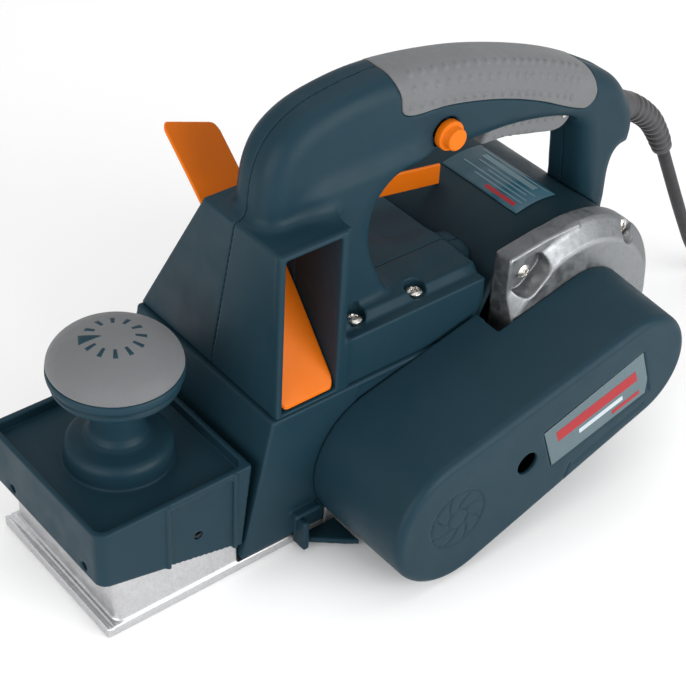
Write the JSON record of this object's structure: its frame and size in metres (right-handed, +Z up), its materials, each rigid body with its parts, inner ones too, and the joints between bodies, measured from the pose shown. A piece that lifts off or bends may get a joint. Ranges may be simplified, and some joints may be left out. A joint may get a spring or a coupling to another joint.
{
  "type": "electric hand planer",
  "caption": "Electric hand planer with D-handle, front depth knob, chip chute with orange deflector, belt cover, cutter drum, motor and cord.",
  "frame": {"origin": "middle of the rear sole's underside", "axes": "+X from the front shoe to the cord, +Z up out of the sole, -Y on the belt cover's side"},
  "size_m": [0.7553, 0.233, 0.2786],
  "materials": {
    "teal_plastic": "fine moulded grain, satin",
    "dark_teal_plastic": "fine moulded grain",
    "soft_rubber": "soft touch, rows of dimples",
    "orange_plastic": "moulded, half gloss",
    "cast_aluminium": "cast, machined faces",
    "bright_steel": "turned and ground",
    "winding_copper": "varnished copper wire on steel laminations",
    "brass_metal": "stamped",
    "black_plastic": "moulded",
    "plate_foil": "printed with plain bars, no text",
    "black_rubber": "matt"
  },
  "bodies": {
    "machine": {"base_casting": "cast_aluminium", "front_housing": "teal_plastic", "lower_body": "teal_plastic", "handle_left": "teal_plastic", "handle_right": "teal_plastic", "soft_grip": "soft_rubber", "trigger_pin": "bright_steel", "switch_block": "black_plastic", "body_screw_front": "bright_steel", "body_screw_rear": "bright_steel", "motor_housing": "dark_teal_plastic", "motor_bracket": "cast_aluminium", "bracket_screw_front": "bright_steel", "bracket_screw_rear": "bright_steel", "stator": "winding_copper", "motor_bearing_left": "bright_steel", "motor_bearing_right": "bright_steel", "brush_holder_front": "brass_metal", "brush_holder_rear": "brass_metal", "carbon_brush_front": "black_plastic", "carbon_brush_rear": "black_plastic", "rating_plate": "plate_foil", "drum_bearing_left": "bright_steel", "drum_bearing_right": "bright_steel", "drive_belt": "black_rubber", "belt_cover": "teal_plastic", "cover_badge": "plate_foil", "cover_screw": "bright_steel", "strain_relief": "black_rubber", "cord_tube": "black_rubber", "cord_coil": "black_rubber", "power_plug": "black_rubber"},
    "shoe": {"front_shoe": "cast_aluminium"},
    "knob": {"depth_knob": "teal_plastic", "knob_pad": "soft_rubber", "depth_screw": "bright_steel"},
    "trigger": {"trigger": "soft_rubber"},
    "lock": {"lock_button": "orange_plastic"},
    "drum": {"cutter_drum": "bright_steel", "knife_a": "bright_steel", "knife_b": "bright_steel", "knife_clamp_a": "bright_steel", "knife_clamp_b": "bright_steel", "drum_pulley": "bright_steel"},
    "rotor": {"armature": "bright_steel", "cooling_fan": "black_plastic", "motor_pulley": "bright_steel"},
    "deflector": {"chip_deflector": "orange_plastic"}
  },
  "joints": [
    {"name": "shoe_lift", "type": "slide", "parent": "machine", "child": "shoe", "axis": [0, 0, 1], "range_m": [0, 0.003]},
    {"name": "knob_turn", "type": "hinge", "parent": "machine", "child": "knob", "pos_m": [-0.264, 0, 0.12], "axis": [0, 0, 1], "range_deg": [0, 300]},
    {"name": "trigger_pull", "type": "hinge", "parent": "machine", "child": "trigger", "pos_m": [0.032, -0.018, 0.207], "axis": [0, 1, 0], "range_deg": [0, 5], "stiffness_Nm_per_rad": 0.8, "springref_deg": -11.46},
    {"name": "lock_press", "type": "slide", "parent": "machine", "child": "lock", "axis": [0, 1, 0], "range_m": [0, 0.004], "stiffness_N_per_m": 400, "springref_m": -0.004},
    {"name": "drum_spin", "type": "hinge", "parent": "machine", "child": "drum", "pos_m": [-0.122, 0, 0.031], "axis": [0, 1, 0], "continuous": true},
    {"name": "armature_spin", "type": "hinge", "parent": "machine", "child": "rotor", "pos_m": [0.014, 0, 0.088], "axis": [0, 1, 0], "continuous": true},
    {"name": "deflector_slide", "type": "slide", "parent": "machine", "child": "deflector", "axis": [0, 1, 0], "range_m": [0, 0.08]}
  ],
  "couplings": [
    {"joint": "knob_turn", "follows": "shoe_lift", "rad_per_m": 1745.3},
    {"joint": "armature_spin", "follows": "drum_spin", "ratio": 1.25}
  ]
}
